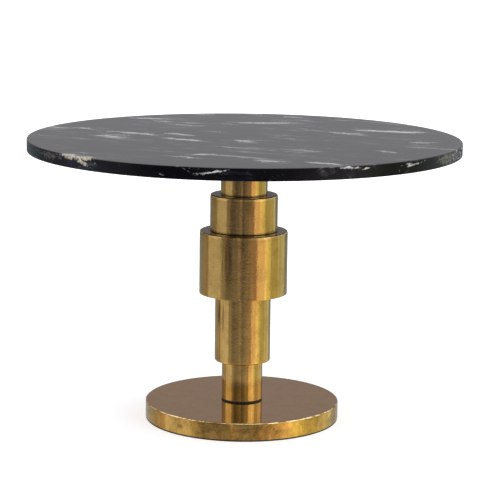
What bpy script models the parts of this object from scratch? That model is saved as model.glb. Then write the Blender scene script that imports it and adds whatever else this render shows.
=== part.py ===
"""Round pedestal dining table: a black marble disc on a stacked brass pedestal.

Frame: metres, +Z up, origin on the floor under the middle of the table.
The pedestal is a stack of thin brass-plated steel sleeves over one steel post. The post
bolts down to an iron weight inside the base cover, and up to a plate under the marble.
The base stands on a rubber strip round its rim. Four levelling feet screw into the weight.
"""

import math

import bmesh
import bpy

# Overall sizes
HEIGHT = 0.760
TOP_RADIUS = 0.575
TOP_THICKNESS = 0.032
TOP_ARRIS = 0.0025
BASE_RADIUS = 0.260
BASE_HEIGHT = 0.045
BASE_EDGE = 0.003
RIM_STRIP_HEIGHT = 0.004

# The stack of sleeves, from the base up: outer radius and height of each
LOWER_NECK_RADIUS, LOWER_NECK_HEIGHT = 0.055, 0.104
LOWER_DRUM_RADIUS, LOWER_DRUM_HEIGHT = 0.075, 0.185
MAIN_DRUM_RADIUS, MAIN_DRUM_HEIGHT = 0.118, 0.170
UPPER_DRUM_RADIUS, UPPER_DRUM_HEIGHT = 0.0905, 0.098
UPPER_NECK_RADIUS = 0.0625
DRUM_EDGE = 0.002

# Sheet, plate and disc thicknesses
SLEEVE_SHEET = 0.002
BASE_SHEET = 0.0025
SPACER_THICKNESS = 0.004
TOP_PLATE_THICKNESS = 0.006
TOP_PAD_THICKNESS = 0.0025
WEIGHT_THICKNESS = 0.0277
UNDERSIDE_THICKNESS = 0.0025
STRIP_LIP, STRIP_FOOT = 0.003, 0.010

# The plate and the soft pad under the marble
TOP_PLATE_RADIUS = 0.210

# The steel post
POST_RADIUS = 0.03015
POST_WALL = 0.00365
POST_FOOT_RADIUS = 0.050
POST_FOOT_THICKNESS = 0.010
POST_HEAD_THICKNESS = 0.020
BORE_OVER_POST = 0.0310
CENTRING_THICKNESS = 0.010

# Bolt circles: number of holes and radius
TOP_BOLTS, TOP_BOLT_CIRCLE = 6, 0.180
HEAD_BOLTS, HEAD_BOLT_CIRCLE = 4, 0.018
BASE_BOLTS, BASE_BOLT_CIRCLE = 4, 0.040
UNDERSIDE_SCREWS, UNDERSIDE_SCREW_CIRCLE = 4, 0.150
FEET, FOOT_CIRCLE = 4, 0.205

# Fastener shank radii and the holes drilled for them
M8, M8_TAPPED, M8_CLEARANCE, M8_SINK_DEPTH = 0.0040, 0.0044, 0.0050, 0.0036
M10, M10_TAPPED, M10_CLEARANCE = 0.0048, 0.0053, 0.0058
M5, M5_TAPPED, M5_CLEARANCE = 0.0024, 0.0028, 0.0032
INSERT_RADIUS, INSERT_LENGTH = 0.0070, 0.020
INSERT_HOLE_RADIUS, INSERT_HOLE_DEPTH = 0.0075, 0.021

# Levelling feet, screwed all the way in
FOOT_CLEARANCE = 0.001
FOOT_PAD_RADIUS = 0.020
FOOT_PAD_HEIGHT = 0.008
FOOT_STEM_TOP = 0.044
FOOT_COLLAR_WIDTH = 0.017

GAP = 0.0003  # kept between two pieces that rest on each other
MERGE = 0.00005
THROUGH = 0.002  # how far a drill runs past the face that it leaves

# Sides of the round pieces, few where a piece is hidden
TOP_SIDES = 80
BASE_SIDES = 56
PLATE_SIDES = 40
DRUM_SIDES = 40
POST_SIDES = 20
FOOT_SIDES = 20
FASTENER_SIDES = 12

# Levels worked out from the sizes above
BASE_BOTTOM = RIM_STRIP_HEIGHT
BASE_TOP = BASE_BOTTOM + BASE_HEIGHT
WEIGHT_TOP = BASE_TOP - BASE_SHEET - GAP
WEIGHT_BOTTOM = WEIGHT_TOP - WEIGHT_THICKNESS
UNDERSIDE_TOP = WEIGHT_BOTTOM - GAP
UNDERSIDE_BOTTOM = UNDERSIDE_TOP - UNDERSIDE_THICKNESS
NECK_BOTTOM = BASE_TOP + SPACER_THICKNESS
LOWER_DRUM_BOTTOM = NECK_BOTTOM + LOWER_NECK_HEIGHT
MAIN_DRUM_BOTTOM = LOWER_DRUM_BOTTOM + LOWER_DRUM_HEIGHT
UPPER_DRUM_BOTTOM = MAIN_DRUM_BOTTOM + MAIN_DRUM_HEIGHT
UPPER_NECK_BOTTOM = UPPER_DRUM_BOTTOM + UPPER_DRUM_HEIGHT
TOP_BOTTOM = HEIGHT - TOP_THICKNESS
TOP_PAD_BOTTOM = TOP_BOTTOM - TOP_PAD_THICKNESS
TOP_PLATE_BOTTOM = TOP_PAD_BOTTOM - TOP_PLATE_THICKNESS
STRIP_TOP = UNDERSIDE_TOP - GAP
FOOT_COLLAR_TOP = UNDERSIDE_BOTTOM - GAP

TABLE = bpy.data.collections.new("pedestal_table")
TOOLS = bpy.data.collections.new("cutters")


def start_scene():
    """Empties the scene and adds the collections for the table and for its cutters."""
    for obj in list(bpy.data.objects):
        bpy.data.objects.remove(obj, do_unlink=True)
    for collection in (TABLE, TOOLS):
        bpy.context.scene.collection.children.link(collection)


def principled(name, colour, metallic, roughness):
    """A plain material of one colour (linear RGB), metallic value and roughness."""
    made = bpy.data.materials.new(name)
    made.use_nodes = True
    shader = made.node_tree.nodes["Principled BSDF"]
    shader.inputs["Base Color"].default_value = (*colour, 1.0)
    shader.inputs["Metallic"].default_value = metallic
    shader.inputs["Roughness"].default_value = roughness
    return made


MARBLE = principled("black_marble", (0.020, 0.020, 0.024), 0.0, 0.25)
BRASS = principled("aged_brass", (0.50, 0.34, 0.13), 1.0, 0.22)
BLACK_STEEL = principled("black_painted_steel", (0.012, 0.012, 0.013), 0.0, 0.50)
ZINC_STEEL = principled("zinc_plated_steel", (0.55, 0.56, 0.58), 1.0, 0.35)
MILL_STEEL = principled("mill_steel", (0.25, 0.26, 0.28), 1.0, 0.45)
CAST_IRON = principled("cast_iron", (0.045, 0.045, 0.048), 0.6, 0.60)
RUBBER = principled("black_rubber", (0.010, 0.010, 0.010), 0.0, 0.80)
NYLON = principled("black_nylon", (0.018, 0.018, 0.019), 0.0, 0.55)
BEECH_PLY = principled("beech_plywood", (0.55, 0.36, 0.19), 0.0, 0.65)


# Shapes


def arc(centre_radius, centre_height, radius, first_deg, last_deg, pieces=2):
    """Points (radius, height) along a corner's arc, both ends included."""
    points = []
    for i in range(pieces + 1):
        angle = math.radians(first_deg + (last_deg - first_deg) * i / pieces)
        points.append(
            (
                centre_radius + radius * math.cos(angle),
                centre_height + radius * math.sin(angle),
            )
        )
    return points


def circle_of(count, radius, first_deg=0.0):
    """Evenly spaced (x, y) places on a circle round the table's axis."""
    angles = [math.radians(first_deg + 360 * i / count) for i in range(count)]
    return [(radius * math.cos(a), radius * math.sin(a)) for a in angles]


def new_object(name, mesh, collection, material=None):
    obj = bpy.data.objects.new(name, mesh)
    collection.objects.link(obj)
    if material:
        mesh.materials.append(material)
    return obj


def turned(name, outline, sides, material=None, sheet=None, collection=TABLE):
    """An outline of (radius, height) points turned about Z. It runs down its outer side.

    With sheet given, the outline is the outer face of a sheet-metal piece of that
    thickness. Without it, an outline that leaves the axis is closed into a ring.
    """
    mesh = bpy.data.meshes.new(name)
    edges = [(i, i + 1) for i in range(len(outline) - 1)]
    if not sheet and outline[0][0] > 0:
        edges.append((len(outline) - 1, 0))
    mesh.from_pydata([(radius, 0.0, height) for radius, height in outline], edges, [])
    obj = new_object(name, mesh, collection, material)
    screw = obj.modifiers.new("turn", "SCREW")
    screw.axis = "Z"
    screw.steps = screw.render_steps = sides
    screw.use_merge_vertices = True
    screw.merge_threshold = MERGE
    if sheet:
        solidify = obj.modifiers.new("sheet", "SOLIDIFY")
        solidify.thickness = sheet
        solidify.offset = -1.0
        solidify.use_even_offset = True
    return obj


def cylinders_mesh(name, spots, radius, bottom, top, sides, top_radius=None):
    """One mesh of upright cylinders, or cones, at several (x, y) spots."""
    shape = bmesh.new()
    for x, y in spots:
        made = bmesh.ops.create_cone(
            shape,
            cap_ends=True,
            segments=sides,
            radius1=radius,
            radius2=radius if top_radius is None else top_radius,
            depth=top - bottom,
        )
        bmesh.ops.translate(shape, vec=(x, y, (top + bottom) / 2), verts=made["verts"])
    mesh = bpy.data.meshes.new(name)
    shape.to_mesh(mesh)
    shape.free()
    return mesh


def disc(name, radius, bottom, top, sides, material, edge=None):
    """A solid disc on the table's axis, with its two rims cut back by edge."""
    mesh = cylinders_mesh(name, [(0.0, 0.0)], radius, bottom, top, sides)
    obj = new_object(name, mesh, TABLE, material)
    if edge:
        bevel = obj.modifiers.new("arris", "BEVEL")
        bevel.width = edge
        bevel.segments = 1
        bevel.limit_method = "ANGLE"
    return obj


def boolean(obj, other, operation):
    other.hide_render = True
    other.display_type = "WIRE"
    modifier = obj.modifiers.new(other.name, "BOOLEAN")
    modifier.operation = operation
    modifier.object = other


def drill(obj, spots, radius, bottom, top, top_radius=None):
    """Cuts a round hole, or a countersink, into obj at each (x, y) spot."""
    name = f"{obj.name}_holes_{len(obj.modifiers)}"
    mesh = cylinders_mesh(name, spots, radius, bottom, top, FASTENER_SIDES, top_radius)
    boolean(obj, new_object(name, mesh, TOOLS), "DIFFERENCE")


def hexagon(name, across_flats, bottom, top):
    """A hexagonal prism on the axis, for bolt heads, collars and key sockets."""
    corner = across_flats / 2 / math.cos(math.pi / 6)
    mesh = cylinders_mesh(name, [(0.0, 0.0)], corner, bottom, top, 6)
    return new_object(name, mesh, TOOLS)


def finished_mesh(obj):
    """The object's mesh with its modifiers applied, smooth except at real corners."""
    bpy.context.view_layer.update()
    graph = bpy.context.evaluated_depsgraph_get()
    mesh = bpy.data.meshes.new_from_object(obj.evaluated_get(graph))
    mesh.name = obj.name
    mesh.shade_smooth()
    mesh.set_sharp_from_angle(angle=math.radians(35))
    return mesh


def finish_scene():
    """Applies every modifier and clears the cutters away."""
    for obj in TABLE.objects:
        if obj.modifiers:
            mesh = finished_mesh(obj)
            obj.modifiers.clear()
            obj.data = mesh
    for obj in list(TOOLS.objects):
        bpy.data.objects.remove(obj, do_unlink=True)
    bpy.data.collections.remove(TOOLS)


def place_copies(pattern, name, places, height, turned_over=False):
    """One object for each (x, y) place, all sharing the pattern's finished mesh."""
    mesh = finished_mesh(pattern)
    copies = []
    for number, (x, y) in enumerate(places, start=1):
        copy = new_object(f"{name}_{number}", mesh, TABLE)
        copy.location = (x, y, height)
        if turned_over:
            copy.rotation_euler = (math.pi, 0.0, 0.0)
        copies.append(copy)
    return copies


# Fastener patterns stand point up, with the underside of the head at their origin


def hex_flange_bolt(name, shank, length, across_flats, head, flange):
    outline = [(0.0, length), (shank, length), (shank, 0.0)]
    outline += [(flange, 0.0), (flange, -0.0015), (0.0, -0.0015)]
    bolt = turned(name, outline, FASTENER_SIDES, ZINC_STEEL, collection=TOOLS)
    boolean(bolt, hexagon(f"{name}_hex", across_flats, -head, -0.001), "UNION")
    return bolt


def socket_cap_bolt(name, shank, length, head_radius, head, key):
    outline = [(0.0, length), (shank, length), (shank, 0.0)]
    outline += [(head_radius, 0.0), (head_radius, -head), (0.0, -head)]
    bolt = turned(name, outline, FASTENER_SIDES, ZINC_STEEL, collection=TOOLS)
    socket = hexagon(f"{name}_key", key, -head - THROUGH, -head * 0.45)
    boolean(bolt, socket, "DIFFERENCE")
    return bolt


def countersunk_bolt(name, shank, length, head_radius, head, key):
    """Its origin is the flat face of the head, flush with the plate it holds."""
    outline = [(0.0, length), (shank, length), (shank, head), (head_radius, 0.0)]
    outline += [(0.0, 0.0)]
    bolt = turned(name, outline, FASTENER_SIDES, ZINC_STEEL, collection=TOOLS)
    boolean(bolt, hexagon(f"{name}_key", key, -THROUGH, head * 0.6), "DIFFERENCE")
    return bolt


# The marble top and what holds it


def build_top():
    bolt_spots = circle_of(TOP_BOLTS, TOP_BOLT_CIRCLE)
    head_spots = circle_of(HEAD_BOLTS, HEAD_BOLT_CIRCLE, 45)

    marble = disc(
        "marble_top", TOP_RADIUS, TOP_BOTTOM, HEIGHT, TOP_SIDES, MARBLE, TOP_ARRIS
    )
    hole_top = TOP_BOTTOM + INSERT_HOLE_DEPTH
    drill(marble, bolt_spots, INSERT_HOLE_RADIUS, TOP_BOTTOM - THROUGH, hole_top)

    ring = [(M8_TAPPED, INSERT_LENGTH), (INSERT_RADIUS, INSERT_LENGTH)]
    ring += [(INSERT_RADIUS, 0.0), (M8_TAPPED, 0.0)]
    insert = turned("insert", ring, FASTENER_SIDES, ZINC_STEEL, collection=TOOLS)
    place_copies(insert, "threaded_insert", bolt_spots, TOP_BOTTOM + GAP)

    pad_bottom, pad_top = TOP_PAD_BOTTOM + GAP, TOP_BOTTOM - GAP
    pad = disc("top_pad", TOP_PLATE_RADIUS, pad_bottom, pad_top, PLATE_SIDES, RUBBER)
    drill(pad, bolt_spots, M8_CLEARANCE, TOP_PAD_BOTTOM - THROUGH, TOP_BOTTOM + THROUGH)

    plate = disc(
        "top_plate",
        TOP_PLATE_RADIUS,
        TOP_PLATE_BOTTOM,
        TOP_PAD_BOTTOM,
        PLATE_SIDES,
        BLACK_STEEL,
    )
    drill_bottom = TOP_PLATE_BOTTOM - THROUGH
    drill_top = TOP_PAD_BOTTOM + THROUGH
    drill(plate, bolt_spots + head_spots, M8_CLEARANCE, drill_bottom, drill_top)
    # A 90 degree countersink widens by as much as it rises
    sink_bottom = TOP_PAD_BOTTOM - M8_SINK_DEPTH
    sink_radius = M8_CLEARANCE + drill_top - sink_bottom
    drill(plate, head_spots, M8_CLEARANCE, sink_bottom, drill_top, sink_radius)

    bolt = hex_flange_bolt("m8_flange", M8, 0.025, 0.013, 0.0065, 0.0088)
    place_copies(bolt, "top_bolt", bolt_spots, TOP_PLATE_BOTTOM - GAP)
    screw = countersunk_bolt("m8_sunk", M8, 0.022, M8 + 0.0038, 0.0038, 0.005)
    place_copies(
        screw, "head_screw", head_spots, TOP_PAD_BOTTOM - GAP, turned_over=True
    )


# The steel post and the sleeves stacked over it


def build_post():
    bottom, top = NECK_BOTTOM + GAP, TOP_PLATE_BOTTOM - GAP
    bore = POST_RADIUS - POST_WALL
    foot_top = bottom + POST_FOOT_THICKNESS
    head_bottom = top - POST_HEAD_THICKNESS
    outline = [(0.0, top), (POST_RADIUS, top), (POST_RADIUS, foot_top)]
    outline += [(POST_FOOT_RADIUS, foot_top), (POST_FOOT_RADIUS, bottom)]
    outline += [(bore, bottom), (bore, head_bottom), (0.0, head_bottom)]
    post = turned("centre_post", outline, POST_SIDES, MILL_STEEL)
    foot_spots = circle_of(BASE_BOLTS, BASE_BOLT_CIRCLE, 45)
    drill(post, foot_spots, M10_TAPPED, bottom - THROUGH, foot_top + THROUGH)
    head_spots = circle_of(HEAD_BOLTS, HEAD_BOLT_CIRCLE, 45)
    drill(post, head_spots, M8_TAPPED, head_bottom - THROUGH, top + THROUGH)


def tube(name, radius, bottom, top):
    """A plain length of brass-plated tube."""
    outline = [(radius, top), (radius, bottom)]
    return turned(name, outline, DRUM_SIDES, BRASS, SLEEVE_SHEET)


def lidded_drum(name, radius, bottom, top):
    """A drum spun from sheet: a lid bored for the post, a small rounded edge, a wall."""
    outline = [(BORE_OVER_POST, top)]
    outline += arc(radius - DRUM_EDGE, top - DRUM_EDGE, DRUM_EDGE, 90, 0)
    outline += [(radius, bottom)]
    return turned(name, outline, DRUM_SIDES, BRASS, SLEEVE_SHEET)


def centring_ring(name, sleeve_radius, bottom):
    """A plywood ring that keeps a neck tube central on the post."""
    outer = sleeve_radius - SLEEVE_SHEET - GAP
    top = bottom + CENTRING_THICKNESS
    outline = [(BORE_OVER_POST, top), (outer, top), (outer, bottom)]
    outline += [(BORE_OVER_POST, bottom)]
    return turned(name, outline, DRUM_SIDES, BEECH_PLY)


def build_sleeves():
    tube("lower_neck", LOWER_NECK_RADIUS, NECK_BOTTOM + GAP, LOWER_DRUM_BOTTOM)
    centring_ring(
        "lower_centring_ring",
        LOWER_NECK_RADIUS,
        LOWER_DRUM_BOTTOM - CENTRING_THICKNESS - GAP,
    )

    bottom = LOWER_DRUM_BOTTOM + GAP
    outline = [(LOWER_DRUM_RADIUS, MAIN_DRUM_BOTTOM)]
    outline += arc(
        LOWER_DRUM_RADIUS - DRUM_EDGE, bottom + DRUM_EDGE, DRUM_EDGE, 0, -90
    )
    outline += [(BORE_OVER_POST, bottom)]
    turned("lower_drum", outline, DRUM_SIDES, BRASS, SLEEVE_SHEET)

    lidded_drum(
        "main_drum", MAIN_DRUM_RADIUS, MAIN_DRUM_BOTTOM + GAP, UPPER_DRUM_BOTTOM
    )
    floor_radius = MAIN_DRUM_RADIUS - SLEEVE_SHEET - GAP
    floor_bottom = MAIN_DRUM_BOTTOM + GAP
    floor_top = floor_bottom + SLEEVE_SHEET
    ring = [(BORE_OVER_POST, floor_top), (floor_radius, floor_top)]
    ring += [(floor_radius, floor_bottom), (BORE_OVER_POST, floor_bottom)]
    turned("main_drum_floor", ring, DRUM_SIDES, BRASS)

    lidded_drum(
        "upper_drum", UPPER_DRUM_RADIUS, UPPER_DRUM_BOTTOM + GAP, UPPER_NECK_BOTTOM
    )
    neck_top = TOP_PLATE_BOTTOM - GAP
    tube("upper_neck", UPPER_NECK_RADIUS, UPPER_NECK_BOTTOM + GAP, neck_top)
    centring_ring("upper_centring_ring", UPPER_NECK_RADIUS, UPPER_NECK_BOTTOM + GAP)


# The base: a brass-plated cover over an iron weight


def build_base():
    bolt_spots = circle_of(BASE_BOLTS, BASE_BOLT_CIRCLE, 45)
    foot_spots = circle_of(FEET, FOOT_CIRCLE, 45)
    screw_spots = circle_of(UNDERSIDE_SCREWS, UNDERSIDE_SCREW_CIRCLE)

    spacer_radius = LOWER_NECK_RADIUS - GAP
    spacer_bottom = BASE_TOP + GAP
    spacer = disc(
        "post_spacer", spacer_radius, spacer_bottom, NECK_BOTTOM, DRUM_SIDES, NYLON
    )
    spacer_drill = (BASE_TOP - THROUGH, NECK_BOTTOM + THROUGH)
    drill(spacer, bolt_spots, M10_CLEARANCE, *spacer_drill)

    mandrel_hole = 0.015
    outline = [(mandrel_hole, BASE_TOP)]
    outline += arc(BASE_RADIUS - BASE_EDGE, BASE_TOP - BASE_EDGE, BASE_EDGE, 90, 0)
    outline += [(BASE_RADIUS, BASE_BOTTOM)]
    cover = turned("base_cover", outline, BASE_SIDES, BRASS, BASE_SHEET)
    drill(cover, bolt_spots, M10_CLEARANCE, WEIGHT_TOP - THROUGH, BASE_TOP + THROUGH)

    inner_radius = BASE_RADIUS - BASE_SHEET - GAP
    weight = disc(
        "base_weight", inner_radius, WEIGHT_BOTTOM, WEIGHT_TOP, BASE_SIDES, CAST_IRON
    )
    weight_drill = (WEIGHT_BOTTOM - THROUGH, WEIGHT_TOP + THROUGH)
    drill(weight, bolt_spots, M10_CLEARANCE, *weight_drill)
    head_radius, head_height = 0.008, 0.010
    seat = WEIGHT_BOTTOM + head_height + 2 * GAP
    drill(weight, bolt_spots, head_radius + 0.001, WEIGHT_BOTTOM - THROUGH, seat)
    drill(weight, foot_spots, M10_TAPPED, WEIGHT_BOTTOM - THROUGH, FOOT_STEM_TOP + GAP)
    screw_depth = WEIGHT_BOTTOM + 0.012
    drill(weight, screw_spots, M5_TAPPED, WEIGHT_BOTTOM - THROUGH, screw_depth)

    underside = disc(
        "underside_cover",
        inner_radius - STRIP_LIP - GAP,
        UNDERSIDE_BOTTOM,
        UNDERSIDE_TOP,
        BASE_SIDES,
        BLACK_STEEL,
    )
    cover_drill = (UNDERSIDE_BOTTOM - THROUGH, UNDERSIDE_TOP + THROUGH)
    drill(underside, foot_spots, M10_CLEARANCE, *cover_drill)
    drill(underside, screw_spots, M5_CLEARANCE, *cover_drill)

    # The strip's foot carries the edge of the rim, and its lip stands inside the rim
    strip_outer, strip_edge = BASE_RADIUS - 0.0008, 0.0006
    lip_outer = inner_radius
    strip_inner = lip_outer - STRIP_FOOT
    outline = [(lip_outer - STRIP_LIP, STRIP_TOP), (lip_outer, STRIP_TOP)]
    outline += [(lip_outer, BASE_BOTTOM - GAP), (strip_outer, BASE_BOTTOM - GAP)]
    outline += [(strip_outer, strip_edge), (strip_outer - strip_edge, 0.0)]
    outline += [(strip_inner, 0.0), (strip_inner, BASE_BOTTOM - GAP)]
    outline += [(lip_outer - STRIP_LIP, BASE_BOTTOM - GAP)]
    turned("rim_strip", outline, BASE_SIDES, RUBBER)

    length = NECK_BOTTOM + POST_FOOT_THICKNESS - seat
    bolt = socket_cap_bolt("m10_cap", M10, length, head_radius, head_height, 0.008)
    place_copies(bolt, "base_bolt", bolt_spots, seat - GAP)
    screw = socket_cap_bolt("m5_button", M5, 0.012, 0.0046, 0.0028, 0.003)
    place_copies(screw, "underside_screw", screw_spots, UNDERSIDE_BOTTOM - GAP)


# The levelling feet: a threaded stem with a hexagon collar, turning in a nylon pad


def build_feet():
    spots = circle_of(FEET, FOOT_CIRCLE, 45)
    socket_radius, socket_bottom, edge = 0.0055, 0.0040, 0.0015
    outline = [(0.0, socket_bottom), (socket_radius, socket_bottom)]
    outline += [(socket_radius, FOOT_PAD_HEIGHT)]
    outline += arc(FOOT_PAD_RADIUS - edge, FOOT_PAD_HEIGHT - edge, edge, 90, 0)
    outline += [(FOOT_PAD_RADIUS, edge), (FOOT_PAD_RADIUS - edge, 0.0), (0.0, 0.0)]
    pad = turned("pad", outline, FOOT_SIDES, NYLON, collection=TOOLS)
    place_copies(pad, "foot_pad", spots, FOOT_CLEARANCE)

    point = 0.0012
    stem_top = FOOT_STEM_TOP - FOOT_CLEARANCE
    stem_bottom = socket_bottom + GAP
    outline = [(0.0, stem_top), (M10 - point, stem_top)]
    outline += [(M10, stem_top - point), (M10, stem_bottom), (0.0, stem_bottom)]
    stem = turned("stem", outline, FASTENER_SIDES, ZINC_STEEL, collection=TOOLS)
    collar_bottom = FOOT_PAD_HEIGHT + GAP
    collar_top = FOOT_COLLAR_TOP - FOOT_CLEARANCE
    collar = hexagon("collar", FOOT_COLLAR_WIDTH, collar_bottom, collar_top)
    boolean(stem, collar, "UNION")
    place_copies(stem, "foot_stem", spots, FOOT_CLEARANCE)


start_scene()
build_top()
build_post()
build_sleeves()
build_base()
build_feet()
finish_scene()
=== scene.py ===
"""The looks of the round pedestal table: black veined marble on a stack of aged brass drums.

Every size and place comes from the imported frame. The sections follow the table as it is put
together, from the floor up, and the studio comes last.
"""

import math
import random

import bmesh
import bpy
from mathutils import Matrix, Vector


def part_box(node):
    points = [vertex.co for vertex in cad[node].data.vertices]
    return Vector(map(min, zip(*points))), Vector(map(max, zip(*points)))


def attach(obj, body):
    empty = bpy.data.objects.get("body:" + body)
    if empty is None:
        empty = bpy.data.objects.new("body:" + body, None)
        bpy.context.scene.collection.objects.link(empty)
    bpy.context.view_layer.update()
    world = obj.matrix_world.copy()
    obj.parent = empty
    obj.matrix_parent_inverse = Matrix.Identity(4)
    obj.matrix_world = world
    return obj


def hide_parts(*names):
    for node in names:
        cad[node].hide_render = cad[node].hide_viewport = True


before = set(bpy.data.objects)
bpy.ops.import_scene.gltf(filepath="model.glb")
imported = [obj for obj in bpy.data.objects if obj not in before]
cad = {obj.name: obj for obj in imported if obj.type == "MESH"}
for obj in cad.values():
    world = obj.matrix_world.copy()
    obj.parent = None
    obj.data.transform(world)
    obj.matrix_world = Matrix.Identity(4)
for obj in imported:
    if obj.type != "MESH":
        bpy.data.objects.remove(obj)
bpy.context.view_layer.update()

# ---------------------------------------------------------------------------------------
# The rubber strip that the base stands on. It is moulded in black rubber and pushed onto
# the lower edge of the base cover, so that steel never touches the floor.


def linear(colour):
    """A hex sRGB colour as linear RGBA."""
    channels = [int(colour[i : i + 2], 16) / 255 for i in (1, 3, 5)]
    return (
        *[c / 12.92 if c <= 0.04045 else ((c + 0.055) / 1.055) ** 2.4 for c in channels],
        1.0,
    )


def add_node(tree, kind, inputs=None, **settings):
    """A node with its own settings; each input is given a value, or a socket to link."""
    node = tree.nodes.new(kind)
    for name, value in settings.items():
        setattr(node, name, value)
    for name, value in (inputs or {}).items():
        if isinstance(value, bpy.types.NodeSocket):
            tree.links.new(value, node.inputs[name])
        else:
            node.inputs[name].default_value = value
    return node


def new_material(name, shader_inputs):
    """A material with one Principled shader; shader_inputs are constants on its sockets."""
    made = bpy.data.materials.new(name)
    made.use_nodes = True
    shader = made.node_tree.nodes["Principled BSDF"]
    for socket, value in shader_inputs.items():
        shader.inputs[socket].default_value = value
    place = add_node(made.node_tree, "ShaderNodeTexCoord").outputs["Object"]
    return made, made.node_tree, shader, place


def rounded(corners, steps=5):
    """Outline points from (radius, height, fillet) corners, each fillet as a real arc.

    A point just beyond each end of an arc keeps the flat faces flat in smooth shading.
    """
    points = []
    for i, (x, z, fillet) in enumerate(corners):
        corner = Vector((x, z))
        if not fillet:
            points.append(corner)
            continue
        back = (Vector(corners[i - 1][:2]) - corner).normalized()
        ahead = (Vector(corners[(i + 1) % len(corners)][:2]) - corner).normalized()
        half = back.angle(ahead) / 2
        reach = fillet / math.tan(half)
        centre = corner + (back + ahead).normalized() * fillet / math.sin(half)
        first, last = corner + back * reach - centre, corner + ahead * reach - centre
        points.append(corner + back * (reach + fillet * 0.4))
        for step in range(steps + 1):
            points.append(centre + first.lerp(last, step / steps).normalized() * fillet)
        points.append(corner + ahead * (reach + fillet * 0.4))
    return points


def turned(name, outline, sides):
    """An outline of (radius, height) points turned about Z. Off the axis it is closed."""
    shape = bmesh.new()
    ring = [shape.verts.new((x, 0.0, z)) for x, z in outline]
    pairs = list(zip(ring, ring[1:]))
    if outline[0][0] > 0:
        pairs.append((ring[-1], ring[0]))
    edges = [shape.edges.new(pair) for pair in pairs]
    bmesh.ops.spin(
        shape,
        geom=ring + edges,
        cent=(0, 0, 0),
        axis=(0, 0, 1),
        angle=math.tau,
        steps=sides,
        use_merge=True,
    )
    bmesh.ops.remove_doubles(shape, verts=shape.verts, dist=0.000002)
    bmesh.ops.recalc_face_normals(shape, faces=shape.faces)
    mesh = bpy.data.meshes.new(name)
    shape.to_mesh(mesh)
    shape.free()
    mesh.shade_smooth()
    mesh.set_sharp_from_angle(angle=math.radians(40))
    return mesh


def fit_piece(name, mesh, material, node, body="table", place=(0, 0, 0)):
    """Puts a finished mesh in place of the CAD node that it stands for."""
    piece = bpy.data.objects.new(name, mesh)
    bpy.context.scene.collection.objects.link(piece)
    piece.location = place
    if not mesh.materials:
        mesh.materials.append(material)
    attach(piece, body)
    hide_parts(node)
    return piece


def fit_disc(node, upper_edge, lower_edge, sides, material):
    """A plain disc the size of its CAD node, with its two edges rounded."""
    low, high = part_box(node)
    outline = rounded(
        [
            (0, high.z, 0),
            (high.x, high.z, upper_edge),
            (high.x, low.z, lower_edge),
            (0, low.z, 0),
        ]
    )
    name = node + "_disc"
    fit_piece(name, turned(name, outline, sides), material, node)


def moulded_rubber():
    """EPDM rubber from a mould: near black, matte, with a faint bloom and fine grain."""
    made, tree, shader, place = new_material(
        "moulded_rubber", {"IOR": 1.52, "Metallic": 0.0}
    )
    bloom = add_node(
        tree, "ShaderNodeTexNoise", {"Vector": place, "Scale": 60.0, "Detail": 6.0}
    )
    grey = add_node(
        tree,
        "ShaderNodeMix",
        {
            "Factor": bloom.outputs["Fac"],
            "A": linear("#161616"),
            "B": linear("#2a2a29"),
        },
        data_type="RGBA",
    )
    tree.links.new(grey.outputs["Result"], shader.inputs["Base Color"])
    matte = add_node(
        tree,
        "ShaderNodeMapRange",
        {"Value": bloom.outputs["Fac"], "To Min": 0.62, "To Max": 0.85},
    )
    tree.links.new(matte.outputs["Result"], shader.inputs["Roughness"])
    # The mould's grain is about 0.4 mm
    grain = add_node(
        tree, "ShaderNodeTexNoise", {"Vector": place, "Scale": 2500.0, "Detail": 2.0}
    )
    bump = add_node(
        tree,
        "ShaderNodeBump",
        {"Height": grain.outputs["Fac"], "Strength": 0.25, "Distance": 0.0002},
    )
    tree.links.new(bump.outputs["Normal"], shader.inputs["Normal"])
    return made


RUBBER = moulded_rubber()
# Neighbouring pieces are this far apart
gap = 0.0003
strip_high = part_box("rim_strip")[1]
base_low, base_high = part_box("base_cover")
base_radius = base_high.x
base_sheet = 0.0025
strip_outer = strip_high.x
lip_outer = base_radius - base_sheet - gap
lip_inner = lip_outer - 0.003
foot_inner = lip_outer - 0.010
strip_shoulder = base_low.z - gap
strip_outline = rounded(
    [
        (lip_inner, strip_high.z, 0.0008),
        (lip_outer, strip_high.z, 0.0008),
        (lip_outer, strip_shoulder, 0),
        (strip_outer, strip_shoulder, 0.0004),
        (strip_outer, 0.0, 0.0010),
        (foot_inner, 0.0, 0.0010),
        (foot_inner, strip_shoulder, 0.0006),
        (lip_inner, strip_shoulder, 0),
    ]
)
fit_piece(
    "rim_strip_moulding",
    turned("rim_strip_moulding", strip_outline, 224),
    RUBBER,
    "rim_strip",
)

# ---------------------------------------------------------------------------------------
# The iron weight and what closes it from below: a grey-black painted casting, a powder
# coated steel sheet, and the zinc plated screws and bolts that hold them.


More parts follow.
